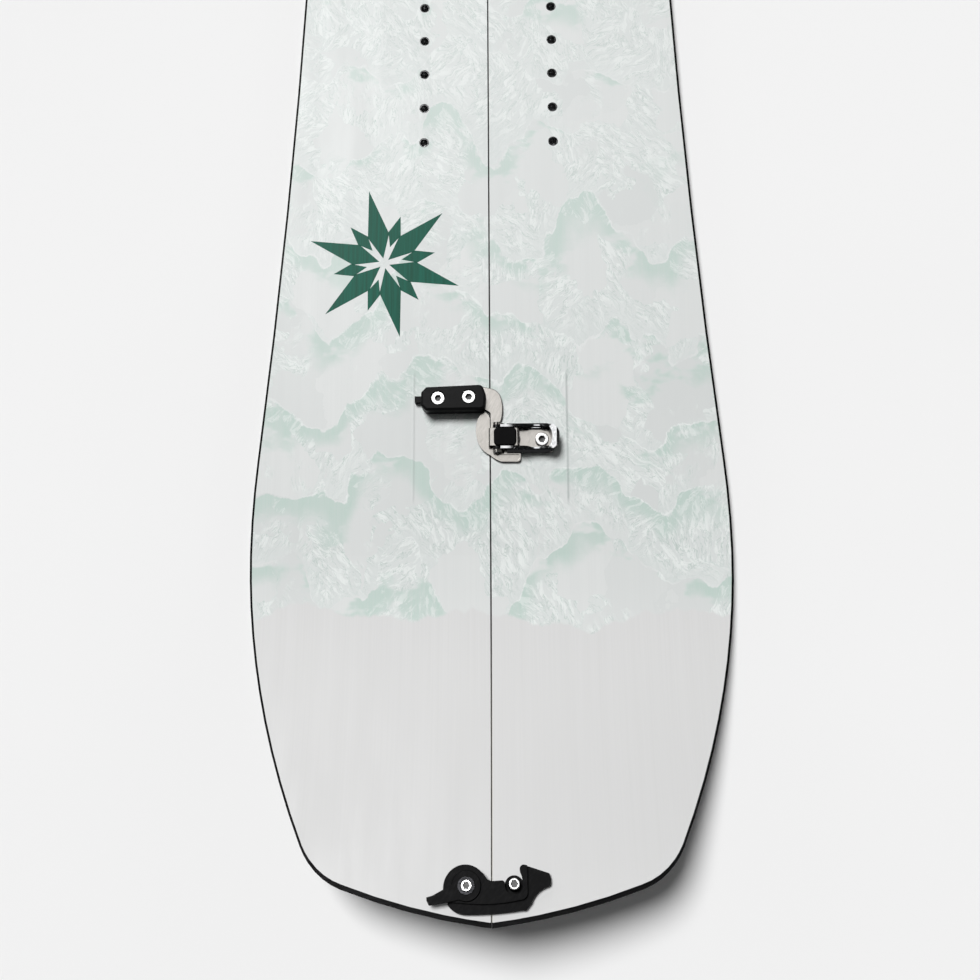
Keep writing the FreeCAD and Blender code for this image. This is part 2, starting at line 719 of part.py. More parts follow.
def build_centre_clip(prefix, station):
    """The hook plate under its anvil block on the left half, and the lever on its base plate on the right."""
    place = Placement(Vector(0, station, cell("thickness")), Rotation())

    # hook plate: a foot under the block, an arm round to the right, and a tongue with a lip under the lever
    plate = new_body(f"{prefix}_hook_plate")
    near, far = cell("tongue_near"), cell("tongue_far")

    def plate_outline(sketch):
        trace(sketch, (-40.0, 20.4), [
            (-4.6, 20.4), (-3.4, 19.5), ((-1.0, 18.4), (near, 17.0)), (near, -3.5), (far, -3.5),
            (far, 9.4), (far + 0.6, 10.6), (6.9, 10.9), ((8.3, 17.6), (7.7, 26.2)),
            ((5.6, 30.9), (0.8, 33.8)), (-4.6, 34.9), (-4.6, 31.6), (-40.0, 31.6), (-40.0, 20.4),
        ])

    slab(plate, "S.clip_underside", "S.hook_plate_top", plate_outline)
    slab(plate, "S.hook_plate_top", "S.lip_top", lambda sketch: rectangle(
        sketch, (cell("lip_near"), -cell("lip_half_width")), (cell("lip_far"), cell("lip_half_width"))))
    carve(plate, "S.clip_underside - 1", "S.hook_plate_top + 1", circles(ANVIL_SCREWS, "S.screw_hole_radius"))
    dress_edges(plate, "Chamfer", "S.plate_edge_break", at_height(
        cell("hook_plate_top"), lambda box: box.YMin > 10 and box.XMax > 5))
    keep(plate, f"{prefix}_hook_plate", place)

    # anvil block, let over the foot of the plate
    block = new_body(f"{prefix}_anvil_block")
    slab(block, "0", "S.block_height", lambda sketch: polygon(sketch, [
        (-44.7, 29.5), (-41.4, 33.0), (-4.9, 34.4), (-2.4, 27.4),
        (-3.1, 17.6), (-41.4, 17.3), (-44.7, 20.6)]))
    for size, low, high in (("S.block_left_radius", -50, -30), ("S.block_right_radius", -10, 0)):
        dress_edges(block, "Fillet", size, lambda edge, low=low, high=high: (
            edge.BoundBox.ZLength > 1 and low < edge.BoundBox.XMin < high))
    dress_edges(block, "Chamfer", "S.block_chamfer", at_height(cell("block_height")))
    slab(block, "0", "S.nub_height", lambda sketch: rectangle(sketch, (-49.4, 24.2), (-43.6, 28.4)))
    carve(block, "-1", "S.hook_plate_top", lambda sketch: rectangle(sketch, (-40.2, 20.2), (-4.8, 31.8)))
    carve(block, "-1", "S.hook_plate_top", lambda sketch: rectangle(sketch, (-4.9, 16.0), (0.0, 36.0)))
    carve(block, "-1", "S.block_height + 1", circles(ANVIL_SCREWS, "S.screw_hole_radius"))
    carve(block, "S.counterbore_floor", "S.block_height + 1", circles(ANVIL_SCREWS, "S.counterbore_radius"))
    keep(block, f"{prefix}_anvil_block", place)
    screw = ("S.screw_reach", "S.screw_shank_radius", "S.screw_head_radius", "S.screw_head_height",
             "S.screw_socket_size", "S.screw_socket_depth")
    build_screws(f"{prefix}_anvil_screws", ANVIL_SCREWS, "S.counterbore_floor", place, *screw)

    # base plate: a leaf lying over the left half, joined below the tongue to the seat of the lever
    base = new_body(f"{prefix}_base_plate")

    def base_outline(sketch):
        trace(sketch, (near - 0.5, 13.6), [
            ((-1.5, 16.4), (-3.4, 17.9)), ((-6.1, 16.0), (-7.9, 13.2)), ((-9.3, 5.6), (-8.1, -2.0)),
            ((-5.6, -6.6), (0.0, -10.9)), ((3.0, -13.3), (7.2, -15.3)), (17.6, -15.4),
            ((19.3, -14.7), (19.9, -13.0)), (19.9, -9.4), (40.4, -9.4), ((42.6, -0.6), (40.4, 8.0)),
            (9.4, 8.0), (9.4, 10.2), (far + 1.0, 10.2), (far + 1.0, 7.2), (far + 0.5, 7.2),
            (far + 0.5, -4.1), (near - 0.5, -4.1), (near - 0.5, 13.6),
        ])

    slab(base, "S.clip_underside", "S.base_plate_top", base_outline)
    carve(base, "S.shelf_floor", "S.base_plate_top + 1", lambda sketch: trace(sketch, (4.4, -10.6), [
        ((5.6, -12.9), (8.2, -14.4)), (17.2, -14.5), ((18.5, -13.9), (18.9, -12.6)), (18.9, -10.6),
        (4.4, -10.6)]))
    across, high, ear = cell("pivot_across"), cell("pivot_height"), cell("ear_radius")

    foot = cell("base_plate_top") - 0.5

    def ear_profile(sketch):
        trace(sketch, (5.6, foot), [
            (9.2, foot), (9.2, 3.2), (across + 1.2, high + math.sqrt(ear ** 2 - 1.44)),
            ((across - ear, high), (across, high - ear)), (5.6, high - ear), (5.6, foot),
        ])

    side_slab(base, "S.ear_near", "S.ear_far", ear_profile)
    side_slab(base, "-S.ear_far", "-S.ear_near", ear_profile)
    bore = circles([(across, high)], "S.pivot_pin_radius + S.running_clearance")
    side_carve(base, "-S.ear_far - 1", "S.ear_far + 1", bore)
    carve(base, "-1", "S.base_plate_top + 1", circles(BASE_SCREWS, "S.screw_hole_radius"))
    keep(base, f"{prefix}_base_plate", place)
    build_screws(f"{prefix}_base_screws", BASE_SCREWS, "S.base_plate_top", place, *screw)

    # lever: a frame of two rails and an end bar, open over the draw link
    lever = new_body(f"{prefix}_lever")
    tip, under, over = cell("lever_end"), cell("lever_underside"), cell("lever_height")
    round_end = cell("rail_end_radius")
    saddle = cell("saddle_middle")

    def lever_profile(sketch):
        trace(sketch, (across, high - round_end), [
            (across + 3.2, under), (38.4, under), ((41.2, under + 0.9), (tip, under + 2.6)),
            ((tip + 0.7, over - 2.4), (tip - 1.2, over)), (saddle + 8.2, over),
            ((saddle, over - 2.0), (saddle - 8.2, over)), (across + 2.6, over), (across, high + round_end),
            ((across - round_end, high), (across, high - round_end)),
        ])

    side_slab(lever, "-S.lever_half_width", "S.lever_half_width", lever_profile)
    skirt = cell("skirt_half_width")
    slab(lever, "S.lever_underside", "S.skirt_top", lambda sketch: rectangle(
        sketch, (cell("skirt_near"), -skirt), (cell("skirt_far"), skirt)))
    dress_edges(lever, "Chamfer", "S.skirt_chamfer", at_height(
        cell("skirt_top"), lambda box: box.YLength < 1e-6 and abs(box.YMin) > skirt - 0.1))
    wide = skirt + 1.0
    for hand in (-1, 1):
        carve(lever, "-1", "S.lever_height + 2", lambda sketch, hand=hand: trace(
            sketch, (37.0, hand * skirt), [
                ((43.0, hand * 6.2), (tip + 1.5, hand * 0.4)), (tip + 3.0, hand * 0.4),
                (tip + 3.0, hand * wide), (37.0, hand * wide), (37.0, hand * skirt)]))
    window = cell("lever_window_end")
    half = cell("lever_window")
    carve(lever, "-1", "S.lever_height + 2", lambda sketch: trace(sketch, (-5.0, -half), [
        (window - 2.0, -half), ((window, 0.0), (window - 2.0, half)), (-5.0, half), (-5.0, -half)]))
    notch, tuck = half + 0.9, half - 1.0
    carve(lever, "S.skirt_top", "S.lever_height + 2", lambda sketch: trace(sketch, (saddle - 8.0, -tuck), [
        ((saddle, -notch), (saddle + 8.0, -tuck)), (saddle + 8.0, tuck),
        ((saddle, notch), (saddle - 8.0, tuck)), (saddle - 8.0, -tuck)]))
    side_carve(lever, "-S.lever_half_width - 1", "S.lever_half_width + 1", bore)
    pin_bore = circles([(cell("link_pin_across"), cell("link_pin_height"))], "S.link_pin_radius")
    side_carve(lever, "-S.lever_half_width", "S.lever_half_width", pin_bore)
    keep(lever, f"{prefix}_lever", place)

    # draw link: a bridge from the link pin to the tooth behind the lip
    link = new_body(f"{prefix}_draw_link")
    px, pz = cell("link_pin_across"), cell("link_pin_height")
    tooth = (cell("link_tooth_near"), cell("link_tooth_far"), cell("link_tooth_floor"))
    low, up = cell("link_underside"), cell("link_top")

    def link_profile(sketch):
        trace(sketch, (tooth[0], tooth[2]), [
            (tooth[1], tooth[2]), (tooth[1], low), (px - 2.6, low), (px - 1.4, pz - 1.4),
            ((px + 1.6, pz - 0.4), (px, up)), (tooth[0] + 0.8, up), (tooth[0], up - 0.8),
            (tooth[0], tooth[2]),
        ])

    side_slab(link, "-S.link_half_width", "S.link_half_width", link_profile)
    side_carve(link, "-S.link_half_width - 1", "S.link_half_width + 1",
               circles([(px, pz)], "S.link_pin_radius + S.running_clearance"))
    keep(link, f"{prefix}_draw_link", place)
    cap = new_body(f"{prefix}_link_cap")
    slab(cap, "S.link_top", "S.cap_top", lambda sketch: rectangle(
        sketch, (cell("cap_near"), -cell("cap_half_width")), (cell("cap_far"), cell("cap_half_width"))))
    rise = cell("cap_top") - cell("link_top")
    dress_edges(cap, "Fillet", "S.cap_corner_radius", lambda edge: abs(edge.BoundBox.ZLength - rise) < 1e-6)
    dress_edges(cap, "Chamfer", "S.cap_chamfer", at_height(cell("cap_top")))
    keep(cap, f"{prefix}_link_cap", place)

    pins = new_body(f"{prefix}_pivot_pins")
    pivot = circles([(across, high)], "S.pivot_pin_radius")
    side_slab(pins, "S.lever_window + S.thrust_gap", "S.ear_far + S.pin_overhang", pivot)
    side_slab(pins, "-S.ear_far - S.pin_overhang", "-S.lever_window - S.thrust_gap", pivot)
    keep(pins, f"{prefix}_pivot_pins", place)
    pin = new_body(f"{prefix}_link_pin")
    side_slab(pin, "-S.lever_half_width", "S.lever_half_width", circles([(px, pz)], "S.link_pin_radius"))
    keep(pin, f"{prefix}_link_pin", place)


# ---------------------------------------------------------------- tip and tail clips
def polar(radius, angle):
    """A point round the hook's pivot."""
    turn = math.radians(angle)
    return (PIVOT[0] + radius * math.cos(turn), PIVOT[1] + radius * math.sin(turn))


def build_end_clip(which):
    """A hook that swings on one half and closes round a post on the other."""
    place = end_frame(which)
    reach = cell("hook_pocket_radius")

    hook = new_body(f"{which}_swing_hook")

    inner, step = polar(reach, -1.6), cell("hook_step_across")
    upper_edge = [
        (-4.2, 5.1), ((-2.6, 2.8), (0.0, 1.5)), (6.0, 1.9), ((7.1, 1.4), (7.5, -0.6)),
        ((9.0, -4.2), (12.9, -5.6)), ((16.5, -4.2), inner), (polar(reach, 5.0), polar(reach, 10.0)),
        ((16.5, 6.4), (16.1, 8.0)), ((16.9, 9.7), (18.7, 10.3)),
    ]

    def flange_outline(sketch):
        trace(sketch, (-8.6, 6.4), upper_edge + [
            (step, 9.9), (33.0, 6.0), ((33.9, 2.8), (33.6, -0.4)), (32.2, -1.3),
            ((26.4, -4.3), (22.6, -10.0)), (19.5, -13.6), (16.6, -13.7), ((0.9, -15.4), (-15.1, -15.8)),
            ((-20.6, -14.4), (-25.0, -10.7)), (-24.6, -8.6), (-8.6, 6.4),
        ])

    disc = (cell("hook_disc_across"), cell("hook_disc_along"))

    def on_disc(angle):
        turn, radius = math.radians(angle), cell("hook_disc_radius")
        return (disc[0] + radius * math.cos(turn), disc[1] + radius * math.sin(turn))

    def body_outline(sketch):
        trace(sketch, on_disc(44), upper_edge + [
            (step, 9.9), (step, -4.2), ((19.4, -7.0), (16.4, -8.3)), ((2.0, -10.3), (-14.0, -10.2)),
            ((-19.4, -9.8), on_disc(215)), (on_disc(130), on_disc(44)),
        ])

    slab(hook, "S.hook_floor", "S.hook_flange_top", circles([disc], "S.hook_disc_radius"))
    slab(hook, "S.hook_floor", "S.hook_flange_top", flange_outline)
    slab(hook, "S.hook_flange_top", "S.hook_body_top", body_outline)
    carve(hook, "S.hook_recess_floor", "S.hook_body_top + 1",
          circles([PIVOT], "S.release_hub_radius + S.hub_clearance"))
    journal = circles([PIVOT], "S.bushing_radius + S.running_clearance")
    carve(hook, "S.hook_floor - 1", "S.hook_body_top + 1", journal)
    keep(hook, f"{which}_swing_hook", place)

    release = new_body(f"{which}_release_lever")
    slab(release, "S.hook_recess_floor", "S.release_top", circles([PIVOT], "S.release_hub_radius"))

    def arm(sketch):
        trace(sketch, (-19.6, 1.4), [
            (-27.3, -3.0), (-33.6, -6.3), (-36.9, -7.2), (-36.7, -8.9), (-35.3, -11.4), (-33.0, -11.2),
            (-25.4, -9.9), (-17.0, -8.2), (-19.6, 1.4),
        ])

    slab(release, "S.hook_body_top + S.thrust_gap", "S.release_top", arm)
    carve(release, "S.hook_floor", "S.release_top + 1", journal)
    keep(release, f"{which}_release_lever", place)

    washer = new_body(f"{which}_thrust_washer")
    slab(washer, "0", "S.washer_top", circles([PIVOT], "S.washer_radius"))
    carve(washer, "-1", "S.washer_top + 1", journal)
    keep(washer, f"{which}_thrust_washer", place)

    bushing = new_body(f"{which}_pivot_bushing")
    seat = "S.bushing_top - S.tip_head_height + S.tip_head_proud"
    slab(bushing, "0", "S.release_top + S.thrust_gap", circles([PIVOT], "S.bushing_radius"))
    slab(bushing, "S.release_top + S.thrust_gap", "S.bushing_top",
         circles([PIVOT], "S.bushing_flange_radius"))
    carve(bushing, "-1", "S.bushing_top + 1", circles([PIVOT], "S.bushing_bore"))
    carve(bushing, seat, "S.bushing_top + 1", circles([PIVOT], "S.tip_head_radius + S.thrust_gap"))
    keep(bushing, f"{which}_pivot_bushing", place)
    screw = ("S.tip_screw_reach", "S.tip_screw_radius", "S.tip_head_radius", "S.tip_head_height",
             "S.tip_socket_size", "S.tip_socket_depth")
    build_screws(f"{which}_pivot_screw", [PIVOT], seat, place, *screw)

    post = new_body(f"{which}_receiver_post")
    slab(post, "0", "S.post_flange_top", circles([POST], "S.post_flange_radius"))
    slab(post, "S.post_flange_top", "S.post_top", circles([POST], "S.post_radius"))
    carve(post, "-1", "S.post_top + 1", circles([POST], "S.bushing_bore"))
    keep(post, f"{which}_receiver_post", place)
    build_screws(f"{which}_receiver_screw", [POST], "S.post_top", place, *screw)


build_half(-1)
build_half(1)
build_centre_clip("front_clip", -cell("clip_station"))
build_centre_clip("rear_clip", cell("clip_station"))
build_end_clip("nose")
build_end_clip("tail")

# ---------------------------------------------------------------- check and write
doc.recompute()
for thing in doc.Objects:
    if "Invalid" in thing.State or "Error" in thing.State:
        raise RuntimeError(f"{thing.Label} did not build: {thing.State}")
os.makedirs("parts", exist_ok=True)
for part in parts:
    shape = part.Shape
    if shape.isNull() or not shape.isValid() or not shape.Solids:
        raise RuntimeError(f"{part.Label} has no sound shape")
    shape.exportStep(f"parts/{part.Label}.step")
    box = shape.BoundBox
    print(part.Label, len(shape.Solids), round(shape.Volume, 1),
          [round(v, 2) for v in (box.XMin, box.YMin, box.ZMin, box.XMax, box.YMax, box.ZMax)])
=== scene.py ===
"""Looks of the splitboard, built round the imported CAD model. Metres, Z up, nose towards -Y."""

import json
import math

import bmesh
import bpy
from mathutils import Matrix, Vector


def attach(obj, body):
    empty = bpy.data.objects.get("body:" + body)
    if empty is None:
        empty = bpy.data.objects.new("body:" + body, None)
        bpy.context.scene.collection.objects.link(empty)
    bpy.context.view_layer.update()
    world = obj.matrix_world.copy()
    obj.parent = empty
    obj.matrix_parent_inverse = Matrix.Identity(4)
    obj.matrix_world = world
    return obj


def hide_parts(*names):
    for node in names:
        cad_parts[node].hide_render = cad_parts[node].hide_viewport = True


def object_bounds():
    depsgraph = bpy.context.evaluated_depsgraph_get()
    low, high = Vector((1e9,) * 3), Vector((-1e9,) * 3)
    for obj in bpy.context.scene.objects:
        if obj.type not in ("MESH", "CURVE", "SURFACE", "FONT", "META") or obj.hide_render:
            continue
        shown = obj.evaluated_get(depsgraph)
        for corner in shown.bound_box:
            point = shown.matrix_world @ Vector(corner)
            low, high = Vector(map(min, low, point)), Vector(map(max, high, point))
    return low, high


MM = 0.001

# where a colour Mix node keeps its factor, its two colours and its result
MIX_FACTOR, MIX_FIRST, MIX_SECOND, MIX_RESULT = 0, 6, 7, 2

# the part of a noise's 0 to 1 that it mostly stays in
NOISE_LOW, NOISE_HIGH = 0.3, 0.7

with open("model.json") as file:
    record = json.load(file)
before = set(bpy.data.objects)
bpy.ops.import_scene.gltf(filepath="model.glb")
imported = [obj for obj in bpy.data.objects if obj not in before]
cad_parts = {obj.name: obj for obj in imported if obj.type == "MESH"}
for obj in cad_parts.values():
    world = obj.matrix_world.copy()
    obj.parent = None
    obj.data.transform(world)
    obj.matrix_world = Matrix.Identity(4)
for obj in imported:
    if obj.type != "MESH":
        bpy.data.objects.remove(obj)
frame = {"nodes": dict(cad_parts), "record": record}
cad_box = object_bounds()
NODES = frame["nodes"]


# ---------------------------------------------------------------- node graphs
class Graph:
    """A material's node graph, written as nested calls. A value is a socket, a number, or a colour."""

    def __init__(self, name):
        self.material = bpy.data.materials.new(name)
        self.material.use_nodes = True
        self.nodes = self.material.node_tree.nodes
        self.links = self.material.node_tree.links
        self.nodes.clear()
        self.place = self.node("ShaderNodeTexCoord").outputs["Object"]
        self.facing = self.node("ShaderNodeTexCoord").outputs["Normal"]

    def node(self, kind, **settings):
        made = self.nodes.new(kind)
        for key, value in settings.items():
            setattr(made, key, value)
        return made

    def put(self, socket, value):
        if isinstance(value, bpy.types.NodeSocket):
            self.links.new(value, socket)
        elif isinstance(value, (tuple, list, Vector)) and len(value) == 3 and socket.type == "RGBA":
            socket.default_value = (*value, 1.0)
        else:
            socket.default_value = value

    def math(self, operation, *values):
        made = self.node("ShaderNodeMath", operation=operation)
        for socket, value in zip(made.inputs, values):
            self.put(socket, value)
        return made.outputs[0]

    def vector(self, operation, *values):
        made = self.node("ShaderNodeVectorMath", operation=operation)
        for socket, value in zip(made.inputs, values):
            self.put(socket, value)
        return made.outputs[0]

    def split(self, vector):
        made = self.node("ShaderNodeSeparateXYZ")
        self.put(made.inputs[0], vector)
        return made.outputs

    def join(self, x=0.0, y=0.0, z=0.0):
        made = self.node("ShaderNodeCombineXYZ")
        for socket, value in zip(made.inputs, (x, y, z)):
            self.put(socket, value)
        return made.outputs[0]

    def turn(self, vector, angle):
        """The vector turned about Z."""
        made = self.node("ShaderNodeVectorRotate", rotation_type="Z_AXIS")
        self.put(made.inputs["Vector"], vector)
        self.put(made.inputs["Angle"], angle)
        return made.outputs[0]

    def scaled(self, vector, scale):
        return self.vector("MULTIPLY", vector, scale)

    def noise(self, vector, scale, detail=2.0, roughness=0.5, distortion=0.0, out="Fac"):
        made = self.node("ShaderNodeTexNoise")
        self.put(made.inputs["Vector"], vector)
        for key, value in (("Scale", scale), ("Detail", detail), ("Roughness", roughness),
                           ("Distortion", distortion)):
            self.put(made.inputs[key], value)
        return made.outputs[out]

    def streaks(self, scale, *shape, place=None, **options):
        """Noise with its own number of waves per metre along X, Y and Z."""
        where = self.place if place is None else place
        return self.noise(self.scaled(where, scale), 1.0, *shape, **options)

    def cells(self, vector, scale, feature="F1", out="Distance"):
        made = self.node("ShaderNodeTexVoronoi", feature=feature)
        self.put(made.inputs["Vector"], vector)
        self.put(made.inputs["Scale"], scale)
        return made.outputs[out]

    def random(self, value):
        made = self.node("ShaderNodeTexWhiteNoise", noise_dimensions="1D")
        self.put(made.inputs["W"], value)
        return made.outputs["Value"]

    def away(self, value, middle):
        """How far a value is from a middle value, on either side."""
        return self.math("ABSOLUTE", self.math("SUBTRACT", value, middle))

    def spread(self, value, low, high, to_low=0.0, to_high=1.0):
        """Maps low..high to another range with soft ends, and holds the ends."""
        made = self.node("ShaderNodeMapRange", interpolation_type="SMOOTHSTEP")
        for socket, item in zip(made.inputs, (value, low, high, to_low, to_high)):
            self.put(socket, item)
        return made.outputs[0]

    def vary(self, noise, low=0.0, high=1.0):
        """Stretches the middle of a noise's range over low..high."""
        return self.spread(noise, NOISE_LOW, NOISE_HIGH, low, high)

    def mix(self, factor, first, second):
        made = self.node("ShaderNodeMix", data_type="RGBA")
        self.put(made.inputs[MIX_FACTOR], factor)
        self.put(made.inputs[MIX_FIRST], first)
        self.put(made.inputs[MIX_SECOND], second)
        return made.outputs[MIX_RESULT]

    def level(self, low, high):
        """1 where the piece's own surface lies level, 0 where it is steep."""
        return self.spread(self.math("ABSOLUTE", self.split(self.facing)["Z"]), low, high)

    def bump(self, height, distance, strength=1.0, under=None):
        made = self.node("ShaderNodeBump")
        self.put(made.inputs["Height"], height)
        self.put(made.inputs["Distance"], distance)
        self.put(made.inputs["Strength"], strength)
        if under is not None:
            self.put(made.inputs["Normal"], under)
        return made.outputs[0]

    def finish(self, **settings):
        """The surface, with the Principled shader's inputs by name, spaces written as underscores."""
        shader = self.node("ShaderNodeBsdfPrincipled")
        for key, value in settings.items():
            self.put(shader.inputs[key.replace("_", " ")], value)
        out = self.node("ShaderNodeOutputMaterial")
        self.links.new(shader.outputs[0], out.inputs[0])
        return self.material


def srgb(red, green, blue):
    """A colour given as screen values from 0 to 255, as scene light."""
    def linear(value):
        value /= 255
        return value / 12.92 if value <= 0.04045 else ((value + 0.055) / 1.055) ** 2.4
    return (linear(red), linear(green), linear(blue))


# ---------------------------------------------------------------- materials
def topsheet_material():
    """White lacquered topsheet with faint lengthwise grain and a pale print of mountain ridges."""
    g = Graph("topsheet")
    x, y, _ = g.split(g.place)

    # lengthwise grain, all over
    fine = g.streaks((1100, 9, 0), 3)
    broad = g.streaks((160, 2.2, 0), 2)
    grain = g.math("ADD", g.math("MULTIPLY", fine, 0.55), g.math("MULTIPLY", broad, 0.45))

    # ridges: a sawtooth of a height whose level lines arch over; each tooth is one range of mountains
    range_depth = 0.058
    swell = g.streaks((11.0, 5.5, 0), 3, 0.5)
    crag = g.streaks((60, 42, 0), 4, 0.6)
    rise = g.math("ADD", g.math("MULTIPLY", swell, 0.23), g.math("MULTIPLY", crag, 0.020))
    height = g.math("DIVIDE", g.math("ADD", y, rise), range_depth)
    row = g.math("FLOOR", height)
    below = g.math("SUBTRACT", 1.0, g.math("FRACT", height))
    luck = g.random(row)

    # faces of rock and snow, each with its own lean, tone and amount of drawing
    faces_per_metre = 30
    warp = g.vector("MULTIPLY", g.streaks((34, 30, 0), 4, out="Color"), (0.06, 0.06, 0))
    warped = g.vector("ADD", g.scaled(g.place, (1, 0.7, 0)), warp)
    shifted = g.vector("ADD", warped, g.join(luck, g.math("MULTIPLY", luck, 3.0), 0))
    lean, tone, drawn_part = g.split(g.cells(shifted, faces_per_metre, out="Color"))
    edge = g.cells(shifted, faces_per_metre, "DISTANCE_TO_EDGE")

    # crinkled snow runs down each face, with thin pencil lines through it
    leaning = g.turn(g.place, g.math("MULTIPLY", g.math("SUBTRACT", lean, 0.5), 2.2))
    wander = g.vector("MULTIPLY", g.streaks((70, 60, 0), 3, out="Color"), (0.009, 0.009, 0))
    leaning = g.vector("ADD", leaning, wander)
    feather = g.streaks((260, 70, 0), 6, 0.70, 0.7, place=leaning)
    snow = g.spread(feather, 0.48, 0.56)
    pencil = g.streaks((170, 44, 0), 5, 0.68, 0.9, place=leaning)
    ink = g.spread(g.away(pencil, 0.5), 0.0, 0.022, 1.0, 0.0)
    roughed = g.math("MULTIPLY", g.math("SUBTRACT", crag, 0.5), 0.8)
    worked = g.spread(g.math("ADD", drawn_part, roughed), 0.24, 0.42)
    fade = g.spread(below, 0.70, 1.0, 1.0, 0.25)
    snow = g.math("MULTIPLY", g.math("MULTIPLY", snow, worked), fade)
    ink = g.math("MULTIPLY", g.math("MULTIPLY", ink, worked), fade)

    # green under the crests, broken up by snow
    patch = g.streaks((15, 22, 0), 4, 0.6)
    depth = g.math("MULTIPLY", g.spread(below, 0.012, 0.04), g.spread(below, 0.12, 0.46, 1.0, 0.0))
    patch = g.spread(g.math("ADD", patch, g.math("MULTIPLY", luck, 0.14)), 0.53, 0.60)
    green = g.math("MULTIPLY", depth, patch)
    crest = g.spread(g.away(below, 0.014), 0.0, 0.03, 1.0, 0.0)
    contour = g.math("MULTIPLY", g.spread(edge, 0.0, 0.022, 1.0, 0.0), worked)

    # plain white past the print, with painted shade greying it where it curls up towards the nose
    curl_end, curl_start = -0.76, -0.60
    white = g.mix(grain, srgb(205, 205, 204), srgb(217, 217, 217))
    white = g.mix(g.spread(y, curl_end, curl_start, 0.5, 0.0), white, srgb(184, 184, 184))

    # the drawing, from the haze behind it to the light on its crests, with painted light lifting it
    # towards the tail
    haze_low, haze_high = srgb(208, 211, 210), srgb(217, 219, 218)
    rock, snow_white, pencil_grey = srgb(212, 218, 216), srgb(229, 233, 231), srgb(176, 191, 185)
    green_low, green_high = srgb(201, 214, 209), srgb(184, 203, 195)
    contour_grey, crest_white = srgb(200, 209, 206), srgb(228, 231, 230)
    grain_grey, painted_light_white = srgb(206, 209, 208), srgb(234, 237, 236)
    drawn = g.mix(g.math("MULTIPLY", worked, 0.55), g.mix(tone, haze_low, haze_high), rock)
    drawn = g.mix(g.math("MULTIPLY", snow, 0.85), drawn, snow_white)
    drawn = g.mix(g.math("MULTIPLY", ink, 0.85), drawn, pencil_grey)
    tint = g.mix(patch, green_low, green_high)
    drawn = g.mix(g.math("MULTIPLY", green, g.spread(snow, 0.0, 1.0, 0.9, 0.45)), drawn, tint)
    drawn = g.mix(g.math("MULTIPLY", contour, 0.35), drawn, contour_grey)
    drawn = g.mix(g.math("MULTIPLY", crest, g.spread(crag, 0.4, 0.6, 0.05, 0.55)), drawn, crest_white)
    drawn = g.mix(g.spread(grain, 0.36, 0.64, 0.0, 0.25), drawn, grain_grey)
    # painted light: the drawing lightened towards the tail
    drawn = g.mix(g.spread(y, -0.52, -0.22, 0.0, 0.20), drawn, painted_light_white)

    # the print stops at a wavy line short of the nose
    print_end, wave_depth, print_fade, wave_seed = -0.648, 0.062, 0.0028, 3.7
    wave = g.noise(g.join(g.math("MULTIPLY", x, 13), wave_seed, 0), 1.0, 4, 0.6)
    limit = g.math("ADD", print_end, g.math("MULTIPLY", wave, wave_depth))
    printed = g.spread(g.math("SUBTRACT", y, limit), 0.0, print_fade)
    colour = g.mix(printed, white, drawn)

    # two faint ridges beside each clip, where stiffeners lie under the sheet: a bump, and painted shade
    # along each, stronger on the right half
    ridge_from_seam, ridge_half_width = 0.0505, 0.0013
    clip_from_middle, ridge_half_length, ridge_end = 0.497, 0.040, 0.046
    across = g.away(g.math("ABSOLUTE", x), ridge_from_seam)
    along = g.away(g.math("ABSOLUTE", y), clip_from_middle)
    line = g.spread(across, 0.0, ridge_half_width, 1.0, 0.0)
    span = g.spread(along, ridge_half_length, ridge_end, 1.0, 0.0)
    ridge = g.math("MULTIPLY", line, span)
    strength = g.spread(x, -0.01, 0.01, 0.15, 0.50)
    colour = g.mix(g.math("MULTIPLY", ridge, strength), colour, srgb(150, 158, 156))

    weave = g.bump(fine, 0.00003, 0.5)
    normal = g.bump(ridge, 0.0002, 0.8, weave)
    gloss = g.vary(g.streaks((60, 12, 0), 3), 0.40, 0.50)
    return g.finish(Base_Color=colour, Roughness=gloss, Normal=normal, Specular_IOR_Level=0.25)


def emblem_material():
    """Green ink under the lacquer, with the grain of the sheet showing through."""
    g = Graph("emblem_ink")
    grain = g.streaks((700, 14, 0), 3, 0.6)
    colour = g.mix(g.vary(grain), srgb(3, 75, 58), srgb(20, 95, 78))
    return g.finish(Base_Color=colour, Roughness=g.spread(grain, 0.2, 0.8, 0.36, 0.46),
                    Normal=g.bump(grain, 0.00002, 0.4), Specular_IOR_Level=0.09)


def laminate_material():
    """Cream resin and glass, with the weave just visible, and painted shade in the seam, fainter towards
    the nose.
    """
    g = Graph("laminate")
    x, y, _ = g.split(g.place)
    weave_phase = 5200  # radians per metre: one strand each 1.2 mm
    warp = g.math("SINE", g.math("MULTIPLY", x, weave_phase))
    weft = g.math("SINE", g.math("MULTIPLY", y, weave_phase))
    weave = g.math("MULTIPLY", warp, weft)
    cloud = g.noise(g.place, 45, 3)
    colour = g.mix(g.spread(weave, -1, 1), srgb(196, 192, 176), srgb(218, 214, 200))
    colour = g.mix(g.math("MULTIPLY", cloud, 0.4), colour, srgb(180, 176, 158))
    # painted shade in the seam between the halves, about a third as strong at the nose end
    seam_shade_faint, seam_shade_full = -0.72, -0.60
    seam_inner, seam_outer = 0.002, 0.004
    in_seam = g.spread(g.math("ABSOLUTE", x), seam_inner, seam_outer, 1.0, 0.0)
    film_and_seam_shade = g.math("MULTIPLY", in_seam, g.spread(y, seam_shade_faint, seam_shade_full, 0.35, 1.0))
    colour = g.mix(film_and_seam_shade, colour, srgb(52, 50, 47))
    return g.finish(Base_Color=colour, Roughness=g.vary(cloud, 0.30, 0.45),
                    Normal=g.bump(weave, 0.00004, 0.5))


